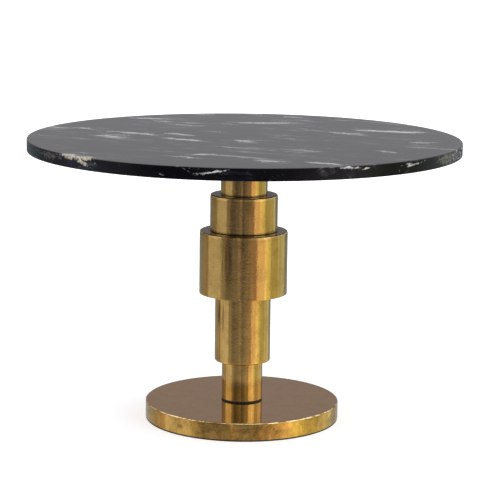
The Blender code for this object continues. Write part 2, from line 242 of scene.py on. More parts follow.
def painted_cast_iron():
    """Sand-cast iron under one coat of primer: dark, dull, with a sandy, pitted skin."""
    made, tree, shader, place = new_material(
        "painted_cast_iron", {"Metallic": 0.0, "Roughness": 0.7}
    )
    sand = add_node(
        tree, "ShaderNodeTexNoise", {"Vector": place, "Scale": 700.0, "Detail": 5.0}
    )
    rust = add_node(
        tree, "ShaderNodeTexNoise", {"Vector": place, "Scale": 22.0, "Detail": 8.0}
    )
    patch = add_node(
        tree,
        "ShaderNodeMapRange",
        {"Value": rust.outputs["Fac"], "From Min": 0.56, "From Max": 0.75},
    )
    colour = add_node(
        tree,
        "ShaderNodeMix",
        {
            "Factor": patch.outputs["Result"],
            "A": linear("#37383a"),
            "B": linear("#4a3527"),
        },
        data_type="RGBA",
    )
    tree.links.new(colour.outputs["Result"], shader.inputs["Base Color"])
    bump = add_node(
        tree,
        "ShaderNodeBump",
        {"Height": sand.outputs["Fac"], "Strength": 0.7, "Distance": 0.0006},
    )
    tree.links.new(bump.outputs["Normal"], shader.inputs["Normal"])
    return made


def powder_coated_steel():
    """Black powder coat baked on steel: an even satin skin with fine orange peel."""
    made, tree, shader, place = new_material(
        "powder_coated_steel", {"IOR": 1.5, "Metallic": 0.0}
    )
    cloud = add_node(
        tree, "ShaderNodeTexNoise", {"Vector": place, "Scale": 9.0, "Detail": 4.0}
    )
    colour = add_node(
        tree,
        "ShaderNodeMix",
        {
            "Factor": cloud.outputs["Fac"],
            "A": linear("#1b1b1c"),
            "B": linear("#262627"),
        },
        data_type="RGBA",
    )
    tree.links.new(colour.outputs["Result"], shader.inputs["Base Color"])
    sheen = add_node(
        tree,
        "ShaderNodeMapRange",
        {"Value": cloud.outputs["Fac"], "To Min": 0.38, "To Max": 0.55},
    )
    tree.links.new(sheen.outputs["Result"], shader.inputs["Roughness"])
    # Orange peel, about 1.5 mm from crest to crest
    peel = add_node(
        tree, "ShaderNodeTexNoise", {"Vector": place, "Scale": 650.0, "Detail": 1.0}
    )
    bump = add_node(
        tree,
        "ShaderNodeBump",
        {"Height": peel.outputs["Fac"], "Strength": 0.35, "Distance": 0.0003},
    )
    tree.links.new(bump.outputs["Normal"], shader.inputs["Normal"])
    return made


def zinc_plated_steel():
    """Bright zinc on turned steel: a cool grey metal, slightly clouded, dull in places."""
    made, tree, shader, place = new_material("zinc_plated_steel", {"Metallic": 1.0})
    cloud = add_node(
        tree, "ShaderNodeTexNoise", {"Vector": place, "Scale": 240.0, "Detail": 5.0}
    )
    colour = add_node(
        tree,
        "ShaderNodeMix",
        {
            "Factor": cloud.outputs["Fac"],
            "A": linear("#b4b6ba"),
            "B": linear("#d4d2c8"),
        },
        data_type="RGBA",
    )
    tree.links.new(colour.outputs["Result"], shader.inputs["Base Color"])
    dull = add_node(
        tree,
        "ShaderNodeMapRange",
        {"Value": cloud.outputs["Fac"], "To Min": 0.22, "To Max": 0.48},
    )
    tree.links.new(dull.outputs["Result"], shader.inputs["Roughness"])
    return made


def paint_nodes(material, *prefixes):
    """Gives a material to every CAD node whose name starts with one of the prefixes."""
    for name, node in cad.items():
        if name.startswith(prefixes):
            node.data.materials.clear()
            node.data.materials.append(material)


IRON = painted_cast_iron()
BLACK_STEEL = powder_coated_steel()
ZINC = zinc_plated_steel()
paint_nodes(IRON, "base_weight")
paint_nodes(BLACK_STEEL, "underside_cover")
paint_nodes(ZINC, "base_bolt", "underside_screw", "threaded_insert", "head_screw")

# ---------------------------------------------------------------------------------------
# The four levelling feet. A zinc plated M10 stem with a hexagon collar turns in a round
# pad moulded in black nylon, and screws in and out of the iron weight.


def moulded_nylon():
    """Injection moulded nylon: black, with a soft waxy sheen and a spark-eroded texture."""
    made, tree, shader, place = new_material(
        "moulded_nylon", {"IOR": 1.53, "Metallic": 0.0, "Roughness": 0.48}
    )
    flow = add_node(
        tree, "ShaderNodeTexNoise", {"Vector": place, "Scale": 120.0, "Detail": 3.0}
    )
    colour = add_node(
        tree,
        "ShaderNodeMix",
        {
            "Factor": flow.outputs["Fac"],
            "A": linear("#0f0f10"),
            "B": linear("#1d1d1e"),
        },
        data_type="RGBA",
    )
    tree.links.new(colour.outputs["Result"], shader.inputs["Base Color"])
    texture = add_node(
        tree, "ShaderNodeTexNoise", {"Vector": place, "Scale": 3000.0, "Detail": 1.0}
    )
    bump = add_node(
        tree,
        "ShaderNodeBump",
        {"Height": texture.outputs["Fac"], "Strength": 0.2, "Distance": 0.0001},
    )
    tree.links.new(bump.outputs["Normal"], shader.inputs["Normal"])
    return made


def threaded_stem(radius, point, bottom, top, pitch, depth):
    """A rod with a real helical thread, closed at both ends, its tip cut to a point."""
    around, rows = 32, round((top - bottom) / (pitch / 8))
    shape = bmesh.new()
    levels = []
    for row in range(rows + 1):
        height = bottom + (top - bottom) * row / rows
        crest = min(radius, radius - point + (top - height))
        ring = []
        for step in range(around):
            turn = step / around
            ridge = abs(((height / pitch - turn) % 1.0) * 2 - 1)
            r = min(crest, radius - depth * ridge)
            ring.append(
                shape.verts.new(
                    (
                        r * math.cos(turn * math.tau),
                        r * math.sin(turn * math.tau),
                        height,
                    )
                )
            )
        levels.append(ring)
    for low, high in zip(levels, levels[1:]):
        for step in range(around):
            after = (step + 1) % around
            shape.faces.new((low[step], low[after], high[after], high[step]))
    shape.faces.new(levels[0][::-1])
    shape.faces.new(levels[-1])
    mesh = bpy.data.meshes.new("thread")
    shape.to_mesh(mesh)
    shape.free()
    return mesh


def hexagon_head(across_flats, bottom, top, chamfer):
    """A hexagonal head whose corners are turned down to a chamfer at the top."""
    corner = across_flats / 2 / math.cos(math.pi / 6)
    shape = bmesh.new()
    bmesh.ops.create_cone(
        shape, cap_ends=True, segments=6, radius1=corner, radius2=corner, depth=top - bottom
    )
    bmesh.ops.translate(shape, verts=shape.verts, vec=(0, 0, (top + bottom) / 2))
    mesh = bpy.data.meshes.new("hexagon")
    shape.to_mesh(mesh)
    shape.free()
    flat = across_flats / 2 - chamfer * 0.3
    cone = [(0, top), (flat, top), (corner, top - chamfer)]
    cone += [(corner + 0.001, top - chamfer), (corner + 0.001, bottom - 0.001)]
    cone += [(0, bottom - 0.001)]
    return joined(mesh, turned("turning", [Vector(p) for p in cone], 48), "INTERSECT")


def joined(mesh, other, operation="UNION"):
    """The Boolean of two closed meshes, applied."""
    pair = [bpy.data.objects.new(m.name, m) for m in (mesh, other)]
    for obj in pair:
        bpy.context.scene.collection.objects.link(obj)
    modifier = pair[0].modifiers.new("join", "BOOLEAN")
    modifier.operation = operation
    modifier.object = pair[1]
    bpy.context.view_layer.update()
    graph = bpy.context.evaluated_depsgraph_get()
    made = bpy.data.meshes.new_from_object(pair[0].evaluated_get(graph))
    for obj in pair:
        bpy.data.objects.remove(obj)
    made.materials.clear()
    made.shade_smooth()
    made.set_sharp_from_angle(angle=math.radians(32))
    return made


NYLON = moulded_nylon()
thread_pitch = 0.0015
stem_radius = 0.0048
pad_low, pad_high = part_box("foot_pad_1")
stem_low, stem_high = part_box("foot_stem_1")
pad_radius = (pad_high.x - pad_low.x) / 2
pad_height = pad_high.z - pad_low.z
socket_radius, socket_bottom = 0.0055, 0.0040
tip_chamfer = thread_depth = 0.0008
collar_across_flats, collar_chamfer = 0.017, 0.001
pad_mesh = turned(
    "foot_pad_moulding",
    rounded(
        [
            (0, socket_bottom, 0),
            (socket_radius, socket_bottom, 0),
            (socket_radius, pad_height, 0.0004),
            (pad_radius * 0.62, pad_height, 0.0010),
            (pad_radius, pad_height * 0.55, 0.0012),
            (pad_radius, 0, 0.0010),
            (0, 0, 0),
        ]
    ),
    64,
)
collar_bottom = pad_height + gap - (stem_low.z - pad_low.z)
collar_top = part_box("underside_cover")[0].z - gap - stem_low.z
stem_length = stem_high.z - stem_low.z
thread = threaded_stem(
    stem_radius, tip_chamfer, 0.0, stem_length, thread_pitch, thread_depth
)
collar = hexagon_head(collar_across_flats, collar_bottom, collar_top, collar_chamfer)
stem_mesh = joined(collar, thread)
for number in range(1, 5):
    low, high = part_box(f"foot_pad_{number}")
    middle = (low + high) / 2
    fit_piece(
        f"foot_pad_moulding_{number}",
        pad_mesh,
        NYLON,
        f"foot_pad_{number}",
        f"foot_pad_{number}",
        (middle.x, middle.y, low.z),
    )
    fit_piece(
        f"foot_screw_{number}",
        stem_mesh,
        ZINC,
        f"foot_stem_{number}",
        f"foot_stem_{number}",
        (middle.x, middle.y, stem_low.z),
    )

# ---------------------------------------------------------------------------------------
# The base cover: brass plated steel, spun over a form with a soft upper edge and a
# turned-down rim. Its flat is buffed almost to a mirror; its rim keeps the marks of the
# spinning tool and has gone blotchy with age.


def soft_spot(tree, place, centre, size, strength, heading=0.0, slope=0.0):
    """A soft ellipsoid: strength at its centre, fading to nothing at its size in metres."""
    local = add_node(
        tree,
        "ShaderNodeMapping",
        {
            "Vector": place,
            "Location": centre,
            "Rotation": (0.0, -math.radians(slope), math.radians(heading)),
            "Scale": [length / 2 for length in size],
        },
        vector_type="TEXTURE",
    )
    reach = add_node(
        tree, "ShaderNodeVectorMath", {0: local.outputs["Vector"]}, operation="LENGTH"
    )
    spot = add_node(
        tree,
        "ShaderNodeMapRange",
        {
            "Value": reach.outputs["Value"],
            "From Min": 1.0,
            "From Max": 0.25,
            "To Max": strength,
        },
        interpolation_type="SMOOTHSTEP",
    )
    return spot.outputs["Result"]


def largest(tree, sockets):
    """The largest of several values at each point."""
    top = sockets[0]
    for socket in sockets[1:]:
        top = add_node(
            tree, "ShaderNodeMath", {0: top, 1: socket}, operation="MAXIMUM"
        ).outputs["Value"]
    return top


def aged_brass(name, golds, ripple_depth, dent_depth, blotches, marks=()):
    """Brass plate, buffed and lacquered, then aged: gold where light strikes it and
    olive-brown where it has tarnished, its reflections frayed by small ripples.
    """
    made, tree, shader, place = new_material(name, {"Metallic": 1.0})
    # Hand polishing leaves long, faint wipes that run up and down, 2 to 6 mm apart
    upright = add_node(
        tree, "ShaderNodeMapping", {"Vector": place, "Scale": (1.0, 1.0, 0.05)}
    ).outputs["Vector"]
    wipes = add_node(
        tree,
        "ShaderNodeTexNoise",
        {"Vector": upright, "Scale": 130.0, "Detail": 5.0, "Roughness": 0.65},
    ).outputs["Fac"]
    # Tarnish in clouds 20 to 60 mm across with ragged edges
    cloud = add_node(
        tree,
        "ShaderNodeTexNoise",
        {"Vector": place, "Scale": 22.0, "Detail": 9.0, "Roughness": 0.68},
    ).outputs["Fac"]
    tarnish = add_node(
        tree,
        "ShaderNodeMapRange",
        {
            "Value": cloud,
            "From Min": 0.44,
            "From Max": 0.70,
            "To Max": blotches,
        },
    ).outputs["Result"]
    gold = add_node(
        tree,
        "ShaderNodeMix",
        {"Factor": wipes, "A": linear(golds[0]), "B": linear(golds[1])},
        data_type="RGBA",
    ).outputs["Result"]
    colour = add_node(
        tree,
        "ShaderNodeMix",
        {"Factor": tarnish, "A": gold, "B": linear("#94763f")},
        data_type="RGBA",
    ).outputs["Result"]
    # Pinhead spots of tarnish, up to 2 mm across and well apart
    cells = add_node(tree, "ShaderNodeTexVoronoi", {"Vector": place, "Scale": 75.0})
    pinhead = add_node(
        tree,
        "ShaderNodeMapRange",
        {
            "Value": cells.outputs["Distance"],
            "From Min": 0.11,
            "From Max": 0.05,
            "To Max": 0.7,
        },
    ).outputs["Result"]
    chance = add_node(
        tree, "ShaderNodeSeparateColor", {"Color": cells.outputs["Color"]}
    ).outputs["Red"]
    chosen = add_node(
        tree, "ShaderNodeMath", {0: chance, 1: 0.78}, operation="GREATER_THAN"
    ).outputs["Value"]
    spots = add_node(
        tree, "ShaderNodeMath", {0: pinhead, 1: chosen}, operation="MULTIPLY"
    ).outputs["Value"]
    # Dark marks at the given places, frayed by the wipes
    placed = [soft_spot(tree, place, *mark) for mark in marks]
    if placed:
        frayed = add_node(
            tree,
            "ShaderNodeMapRange",
            {"Value": wipes, "From Min": 0.36, "From Max": 0.56},
        ).outputs["Result"]
        dark_marks = add_node(
            tree,
            "ShaderNodeMath",
            {0: largest(tree, placed), 1: frayed},
            operation="MULTIPLY",
        ).outputs["Value"]
        spots = largest(tree, [spots, dark_marks])
    final = add_node(
        tree,
        "ShaderNodeMix",
        {"Factor": spots, "A": colour, "B": linear("#33280f")},
        data_type="RGBA",
    ).outputs["Result"]
    tree.links.new(final, shader.inputs["Base Color"])
    dull = add_node(
        tree,
        "ShaderNodeMapRange",
        {
            "Value": add_node(
                tree, "ShaderNodeMath", {0: cloud, 1: wipes}, operation="MULTIPLY"
            ).outputs["Value"],
            "From Min": 0.15,
            "From Max": 0.38,
            "To Min": 0.03,
            "To Max": 0.12,
        },
    ).outputs["Result"]
    tree.links.new(dull, shader.inputs["Roughness"])
    # Ripples 4 to 8 mm apart from the spinning fray the edges of reflections, some more
    # than others, on top of dents 20 to 40 mm apart that bend them
    ripple = add_node(
        tree,
        "ShaderNodeTexNoise",
        {"Vector": place, "Scale": 190.0, "Detail": 3.0, "Roughness": 0.6},
    ).outputs["Fac"]
    rippled = add_node(
        tree,
        "ShaderNodeMapRange",
        {"Value": cloud, "From Min": 0.38, "From Max": 0.66, "To Min": 0.15},
    ).outputs["Result"]
    fine_bump = add_node(
        tree,
        "ShaderNodeBump",
        {"Height": ripple, "Strength": rippled, "Distance": ripple_depth},
    )
    dents = add_node(
        tree, "ShaderNodeTexNoise", {"Vector": place, "Scale": 34.0, "Detail": 1.0}
    ).outputs["Fac"]
    bump = add_node(
        tree,
        "ShaderNodeBump",
        {
            "Height": dents,
            "Strength": 1.0,
            "Distance": dent_depth,
            "Normal": fine_bump.outputs["Normal"],
        },
    )
    tree.links.new(bump.outputs["Normal"], shader.inputs["Normal"])
    return made


def shaded_ledge_brass(corner):
    """Dark brown, dull brass for a ledge: the dark brown is painted shade for the dark the
    ledge shows under the marble, and a near-black ring in its corner with the sleeve above is
    a painted shadow.
    """
    made, tree, shader, place = new_material("ledge_brass_painted_shade", {"Metallic": 1.0})
    mottle = add_node(
        tree,
        "ShaderNodeTexNoise",
        {"Vector": place, "Scale": 90.0, "Detail": 7.0, "Roughness": 0.65},
    ).outputs["Fac"]
    # Dark brown in mottled tones, painted shade on the ledge
    colour = add_node(
        tree,
        "ShaderNodeMix",
        {"Factor": mottle, "A": linear("#2b2114"), "B": linear("#6b5637")},
        data_type="RGBA",
    ).outputs["Result"]
    level = add_node(
        tree,
        "ShaderNodeVectorMath",
        {0: place, 1: (1.0, 1.0, 0.0)},
        operation="MULTIPLY",
    ).outputs["Vector"]
    out = add_node(
        tree, "ShaderNodeVectorMath", {0: level}, operation="LENGTH"
    ).outputs["Value"]
    uneven = add_node(
        tree, "ShaderNodeMath", {0: mottle, 1: 0.016, 2: out}, operation="MULTIPLY_ADD"
    ).outputs["Value"]
    # A near-black ring with a ragged edge, painted shadow in the corner with the sleeve above
    corner_shadow = add_node(
        tree,
        "ShaderNodeMapRange",
        {"Value": uneven, "From Min": corner + 0.019, "From Max": corner + 0.012},
    ).outputs["Result"]
    ledge = add_node(
        tree,
        "ShaderNodeMix",
        {"Factor": corner_shadow, "A": colour, "B": linear("#0d0805")},
        data_type="RGBA",
    ).outputs["Result"]
    tree.links.new(ledge, shader.inputs["Base Color"])
    dull = add_node(
        tree, "ShaderNodeMapRange", {"Value": mottle, "To Min": 0.12, "To Max": 0.32}
    ).outputs["Result"]
    tree.links.new(dull, shader.inputs["Roughness"])
    bump = add_node(
        tree, "ShaderNodeBump", {"Height": mottle, "Strength": 0.4, "Distance": 0.0003}
    )
    tree.links.new(bump.outputs["Normal"], shader.inputs["Normal"])
    return made


# Dark marks on the front of the rim: centre and size in metres, then how dark
RIM_MARKS = (
    ((-0.060, -0.252, 0.0468), (0.060, 0.03, 0.004), 0.9),
    ((0.010, -0.260, 0.0466), (0.050, 0.03, 0.004), 0.9),
    ((0.055, -0.254, 0.0468), (0.040, 0.03, 0.003), 0.7),
    ((-0.160, -0.205, 0.0250), (0.030, 0.03, 0.020), 0.5),
)


def highlight_brass():
    """Brass for rounded edges, pale gold in patches: a painted highlight for the light the
    edges catch.
    """
    made, tree, shader, place = new_material("brass_edge_painted_highlight", {"Metallic": 1.0})
    glint_mottle = add_node(
        tree,
        "ShaderNodeTexNoise",
        {"Vector": place, "Scale": 45.0, "Detail": 6.0, "Roughness": 0.6},
    ).outputs["Fac"]
    # Pale gold in patches, painted highlight
    colour = add_node(
        tree,
        "ShaderNodeMix",
        {
            "Factor": add_node(
                tree,
                "ShaderNodeMapRange",
                {"Value": glint_mottle, "From Min": 0.42, "From Max": 0.54},
            ).outputs["Result"],
            "A": linear("#b0853f"),
            "B": linear("#fbe3ae"),
        },
        data_type="RGBA",
    ).outputs["Result"]
    tree.links.new(colour, shader.inputs["Base Color"])
    dull = add_node(
        tree, "ShaderNodeMapRange", {"Value": glint_mottle, "To Min": 0.45, "To Max": 0.15}
    ).outputs["Result"]
    tree.links.new(dull, shader.inputs["Roughness"])
    return made


# The cover is one sheet, but the flat's gold is greyer and the rim's lighter and more golden:
# painted light, for the duller reflection on the flat and the brighter one on the rim. The
# rim's heavier tarnish, ripples and dents are its own.
BRASS_PLATE = aged_brass(
    "buffed_aged_brass", ("#b79a6b", "#dcc290"), 0.00003, 0.0, 0.25
)
BRASS_RIM = aged_brass(
    "spun_aged_brass_rim", ("#cc963f", "#f1c36c"), 0.0008, 0.0017, 1.0, RIM_MARKS
)
BRASS_EDGE_HIGHLIGHT = highlight_brass()
cover_bore, cover_edge = 0.015, 0.0030
cover_outline = rounded(
    [
        (cover_bore, base_high.z, 0),
        (base_radius, base_high.z, cover_edge),
        (base_radius, base_low.z, 0.0006),
        (base_radius - base_sheet, base_low.z, 0.0006),
        (base_radius - base_sheet, base_high.z - base_sheet, 0.0010),
        (cover_bore, base_high.z - base_sheet, 0),
    ],
    8,
)
cover_mesh = turned("base_cover_spinning", cover_outline, 224)
for brass in (BRASS_PLATE, BRASS_RIM, BRASS_EDGE_HIGHLIGHT):
    cover_mesh.materials.append(brass)
# The rounded edge gets brass with a painted highlight, and all that lies below the flat is
# rim
for face in cover_mesh.polygons:
    out = math.hypot(face.center.x, face.center.y)
    if out > base_radius - 0.0032 and 0.15 < face.normal.z < 0.98:
        face.material_index = 2
    elif face.center.z < base_high.z - 0.0001:
        face.material_index = 1
fit_piece(
    "base_cover_spinning", cover_mesh, BRASS_PLATE, "base_cover"
)

# ---------------------------------------------------------------------------------------
# The black nylon spacer that shows as a dark line where the pedestal meets the base, and
# over it the steel post, as drawn from the mill, with a flange welded to its foot.


def mill_steel():
    """Hot rolled tube with its blue-grey mill scale, oiled and a little streaked."""
    made, tree, shader, place = new_material(
        "mill_steel", {"Metallic": 1.0, "Roughness": 0.45}
    )
    drawn = add_node(
        tree, "ShaderNodeMapping", {"Vector": place, "Scale": (1.0, 1.0, 0.06)}
    ).outputs["Vector"]
    scale = add_node(
        tree, "ShaderNodeTexNoise", {"Vector": drawn, "Scale": 160.0, "Detail": 6.0}
    )
    colour = add_node(
        tree,
        "ShaderNodeMix",
        {
            "Factor": scale.outputs["Fac"],
            "A": linear("#4b4f55"),
            "B": linear("#7b7d80"),
        },
        data_type="RGBA",
    )
    tree.links.new(colour.outputs["Result"], shader.inputs["Base Color"])
    return made


fit_disc("post_spacer", 0.0005, 0.0005, 128, NYLON)
paint_nodes(mill_steel(), "centre_post")

# ---------------------------------------------------------------------------------------
# The sleeves of the pedestal: spun and drawn brass plated sheet, each a cylinder, stacked
# over the post. A lid on top is drawn in a little at its edge, and one underneath has a
# soft edge. Two plywood rings centre the necks.

sheet = 0.002
bore = 0.0310
lower_edge = 0.0045
drawn_in, drawn_height = 0.0009, 0.0080
lid_edge, shoulder_bend = 0.0030, 0.0040
# How far down a sleeve's top edge the painted highlight reaches
highlight_height = 0.0045


def sleeve(node, lid=None, above=None):
    """A brass sleeve the size of its CAD node, closed at the top, the bottom or neither.

    A lid at the top is drawn in a little, and carries the sleeve named above.
    """
    low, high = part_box(node)
    radius, inner = high.x, high.x - sheet
    top, bottom = high.z, low.z
    if lid == "top":
        corners = [(bore, top, 0), (radius - drawn_in, top, lid_edge)]
        corners += [(radius, top - drawn_height, shoulder_bend)]
        corners += [(radius, bottom, 0.0014)]
        corners += [(inner, bottom, 0.0003), (inner, top - sheet, 0)]
        corners += [(bore, top - sheet, 0)]
    elif lid == "bottom":
        corners = [(inner, top, 0.0006), (radius, top, 0.0006)]
        corners += [(radius, bottom, lower_edge)]
        corners += [(bore, bottom, 0), (bore, bottom + sheet, 0)]
        corners += [(inner, bottom + sheet, 0)]
    else:
        corners = [(inner, top, 0.0004), (radius, top, 0.0006)]
        corners += [(radius, bottom, 0.0006), (inner, bottom, 0.0004)]
    name = node + "_sleeve"
    mesh = turned(name, rounded(corners, 6), 160)
    mesh.materials.append(BRASS_SLEEVE)
    if above:
        mesh.materials.append(shaded_ledge_brass(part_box(above)[1].x))
        mesh.materials.append(BRASS_EDGE_HIGHLIGHT)
        # The flat top of a lid gets the ledge brass with its painted shade and painted corner
        # shadow, and the rounded edge below it gets brass with a painted highlight
        for face in mesh.polygons:
            if face.normal.z > 0.97 and face.center.z > top - 0.0002:
                face.material_index = 1
            elif face.normal.z > 0.20 and face.center.z > top - highlight_height:
                face.material_index = 2
    fit_piece(name, mesh, None, node)


def beech_plywood():
    """Beech plywood, sawn and sanded: pale pink-brown, its plies 1.5 mm thick."""
    made, tree, shader, place = new_material(
        "beech_plywood", {"Metallic": 0.0, "Roughness": 0.65}
    )
    plies = add_node(
        tree,
        "ShaderNodeTexWave",
        {"Vector": place, "Scale": 1 / (20 * 0.0015), "Distortion": 0.4},
        wave_type="BANDS",
        bands_direction="Z",
    )
    colour = add_node(
        tree,
        "ShaderNodeMix",
        {
            "Factor": plies.outputs["Fac"],
            "A": linear("#a87f56"),
            "B": linear("#d3b088"),
        },
        data_type="RGBA",
    )
    tree.links.new(colour.outputs["Result"], shader.inputs["Base Color"])
    return made


# Where the plate is marked: centre and size in metres, then how dark
MARKS = (
    ((-0.040, -0.111, 0.445), (0.024, 0.05, 0.15), 1.0),
    ((0.000, -0.118, 0.490), (0.030, 0.05, 0.05), 0.35),
    ((0.106, -0.052, 0.356), (0.004, 0.02, 0.004), 1.0),
    ((-0.0630, -0.0400, 0.295), (0.008, 0.02, 0.11), 1.0),
    ((-0.0530, -0.0530, 0.285), (0.007, 0.02, 0.13), 0.9),
    ((0.015, -0.090, 0.590), (0.030, 0.04, 0.07), 0.35),
)
BRASS_SLEEVE = aged_brass(
    "spun_aged_brass", ("#c2954a", "#ecc577"), 0.00050, 0.00020, 0.45, MARKS
)
sleeve("lower_neck")
sleeve("lower_drum", "bottom")
sleeve("main_drum", "top", "upper_drum")
sleeve("upper_drum", "top", "upper_neck")
sleeve("upper_neck")
floor_low, floor_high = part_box("main_drum_floor")
floor_corners = [(bore, floor_high.z, 0), (floor_high.x, floor_high.z, 0)]
floor_corners += [(floor_high.x, floor_low.z, 0.0004), (bore, floor_low.z, 0)]
fit_piece(
    "main_drum_floor_ring",
    turned("main_drum_floor_ring", rounded(floor_corners), 160),
    BRASS_SLEEVE,
    "main_drum_floor",
)
paint_nodes(beech_plywood(), "lower_centring_ring", "upper_centring_ring")

# ---------------------------------------------------------------------------------------
# The plate under the marble: 6 mm steel, powder coated black, on a thin rubber pad, and
# the six zinc plated flange bolts that hold it to the inserts in the stone.

fit_disc("top_plate", 0.0008, 0.0012, 160, BLACK_STEEL)
fit_disc("top_pad", 0.0004, 0.0004, 160, RUBBER)

bolt_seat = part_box("top_plate")[0].z - gap
head_height = bolt_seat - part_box("top_bolt_1")[0].z
head_across_flats, head_chamfer = 0.013, 0.0011
flange_radius, flange_edge = 0.0088, 0.0009
cone_radius, cone_height = 0.0072, 0.0017
flange = rounded(
    [
        (0, 0.0, 0),
        (flange_radius, 0.0, 0.0003),
        (flange_radius, flange_edge, 0.0003),
        (cone_radius, cone_height, 0),
        (0, cone_height, 0),
    ]
)
bolt_head = joined(
    turned("flange", flange, 48),
    hexagon_head(head_across_flats, 0.001, head_height, head_chamfer),
)
for number in range(1, 7):
    low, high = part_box(f"top_bolt_{number}")
    bolt = fit_piece(
        f"flange_bolt_{number}",
        bolt_head,
        ZINC,
        f"top_bolt_{number}",
    )
    bolt.matrix_world = Matrix.Translation(
        ((low.x + high.x) / 2, (low.y + high.y) / 2, bolt_seat)
    ) @ Matrix.Rotation(math.pi, 4, "X")

# ---------------------------------------------------------------------------------------
# The marble top: one slab of black marble, polished on its face and edge with a small
# rounded arris, and left sawn underneath. Its white calcite lies in broken streaks along
# the bed of the stone, with a few long veins, clouds and one cream patch at the edge.

marble_low, marble_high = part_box("marble_top")

slab_radius = marble_high.x
bed_heading = -25


def on_slab(bearing, out, drop=0.0):
    """A place in the slab: degrees round from its front, share of its radius, and drop."""
    turned_by, reach = math.radians(bearing), out * slab_radius
    centre = (reach * math.sin(turned_by), -reach * math.cos(turned_by))
    return (*centre, marble_high.z - drop)


# The veins that catch the eye: across and back in tenths of the radius, then how long and
# wide in metres, how white, and the way they run in degrees
VEINS = (
    (-6, 0, 0.22, 0.14, 0.9, -25),
    (-3, 1, 0.20, 0.06, 1.1, -30),
    (0, -1, 0.15, 0.05, 1.0, -40),
    (1, 6, 0.40, 0.09, 0.8, -5),
    (5, 2, 0.25, 0.06, 1.0, -30),
    (7, 3, 0.35, 0.07, 1.1, -15),
    (8, -1, 0.15, 0.06, 1.0, -20),
    (-2, -6, 0.20, 0.05, 0.9, 25),
)
STREAKS = []
for x, y, length, width, white, heading in VEINS:
    centre = (x / 10 * slab_radius, y / 10 * slab_radius, marble_high.z)
    STREAKS.append((centre, (length, width, 0.03), white, heading))
# The other veins lie anywhere, more or less along the bed of the stone
chance = random.Random(11)
loose_veins, edge_marks = 24, 22
for _ in range(loose_veins):
    centre = on_slab(chance.uniform(-180, 180), math.sqrt(chance.uniform(0.02, 0.95)))
    size = (chance.uniform(0.10, 0.26), chance.uniform(0.04, 0.06), 0.03)
    white = chance.uniform(0.6, 1.0)
    STREAKS.append((centre, size, white, bed_heading + chance.uniform(-12, 12)))
# The edge cuts thin ones all the way round
for _ in range(edge_marks):
    bearing = chance.uniform(-180, 180)
    centre = on_slab(bearing, 1.0, chance.uniform(0.002, 0.024))
    size = (chance.uniform(0.06, 0.16), 0.04, chance.uniform(0.005, 0.010))
    white = chance.uniform(0.6, 1.0)
    STREAKS.append((centre, size, white, bearing, chance.uniform(-25, 12)))
# Cream and olive patches, where calcite and mica reach the edge of the slab
CREAM = (
    (on_slab(-50, 1.0, 0.005), (0.12, 0.07, 0.030), 0.8, -50),
    (on_slab(-45, 1.0, 0.003), (0.12, 0.06, 0.025), 0.8, -45),
    (on_slab(-45, 1.0, 0.015), (0.10, 0.05, 0.020), 0.8, -45, -15),
)
OLIVE = (
    (on_slab(65, 1.0, 0.012), (0.30, 0.09, 0.05), 0.8, 65),
    (on_slab(-60, 1.0, 0.015), (0.15, 0.07, 0.04), 0.6, -60),
)


